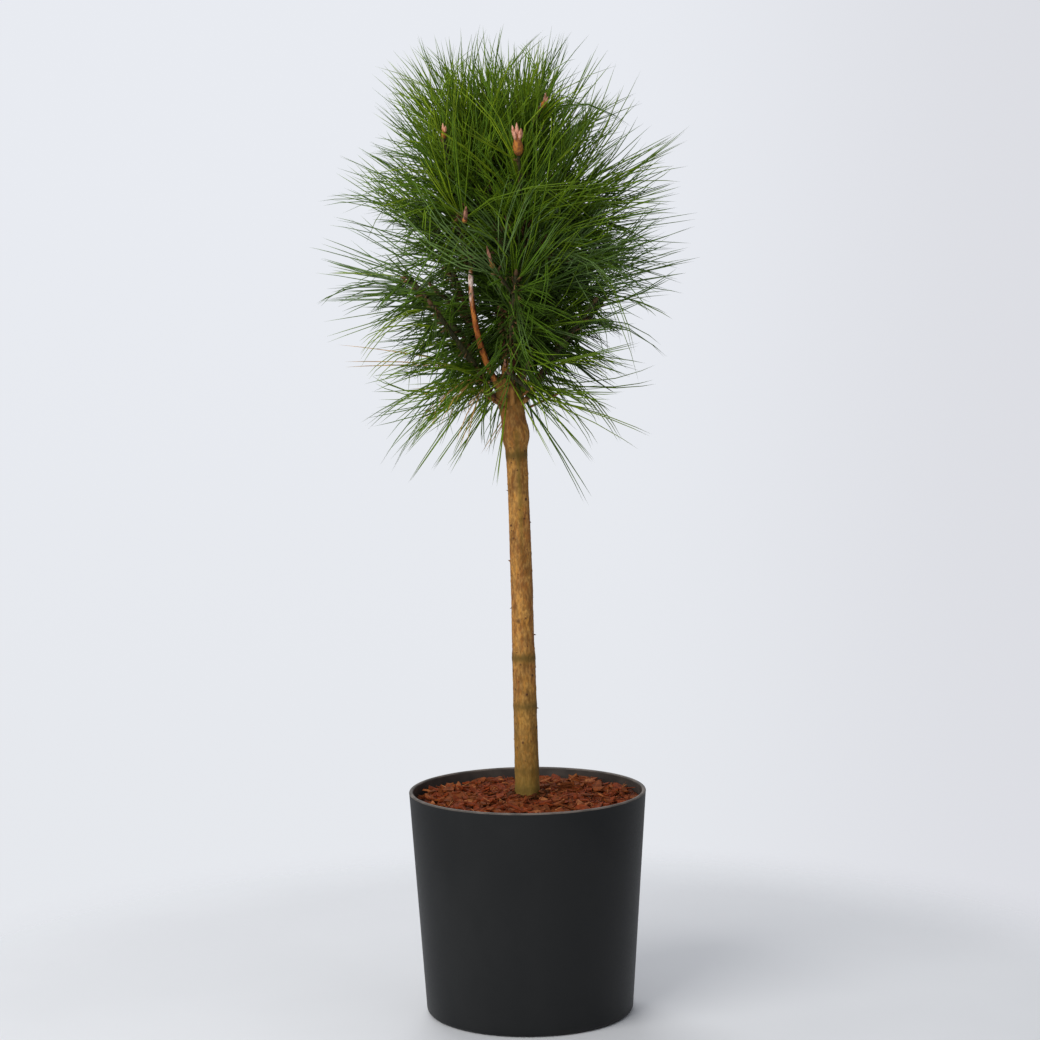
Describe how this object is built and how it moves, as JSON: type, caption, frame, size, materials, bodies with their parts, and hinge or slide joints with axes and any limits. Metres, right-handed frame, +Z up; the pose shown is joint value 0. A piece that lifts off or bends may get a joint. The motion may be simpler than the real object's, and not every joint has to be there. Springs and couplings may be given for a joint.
{
  "type": "potted standard pine",
  "caption": "Small long-needled pine trained as a standard: a bare leaning trunk in a plain round tapered pot, forking into boughs that carry a round head of needles.",
  "frame": {"origin": "centre of the pot's flat underside, on the surface that the pot stands on", "axes": "+Z up along the trunk, -Y the front that the picture shows, +X to the right in it"},
  "size_m": [0.3113, 0.3025, 0.7795],
  "materials": {
    "pot_plastic": "matt moulded, near black",
    "potting_soil": "moist crumbly potting mix",
    "bark_mulch": "rough reddish-brown bark chips and fibres",
    "bark": "dry, finely cracked tan bark",
    "young_bark": "scaly orange-brown young bark",
    "needles": "slightly waxy green needles"
  },
  "bodies": {
    "root": {"pot": "pot_plastic", "soil": "potting_soil", "mulch": "bark_mulch", "trunk": "bark", "bough_top": "young_bark", "bough_upper_1": "young_bark", "bough_upper_2": "young_bark", "bough_upper_3": "young_bark", "bough_upper_4": "young_bark", "bough_upper_5": "young_bark", "bough_upper_6": "young_bark", "bough_lower_1": "young_bark", "bough_lower_2": "young_bark", "bough_lower_3": "young_bark", "bough_lower_4": "young_bark", "bough_lower_5": "young_bark", "bough_lower_6": "young_bark", "bough_lower_7": "young_bark", "needles_top": "needles", "needles_upper_1": "needles", "needles_upper_2": "needles", "needles_upper_3": "needles", "needles_upper_4": "needles", "needles_upper_5": "needles", "needles_upper_6": "needles", "needles_lower_1": "needles", "needles_lower_2": "needles", "needles_lower_3": "needles", "needles_lower_4": "needles", "needles_lower_5": "needles", "needles_lower_6": "needles", "needles_lower_7": "needles", "needles_skirt_1": "needles", "needles_skirt_2": "needles", "needles_skirt_3": "needles", "needles_skirt_4": "needles", "needles_skirt_5": "needles", "needles_skirt_6": "needles"}
  },
  "joints": []
}
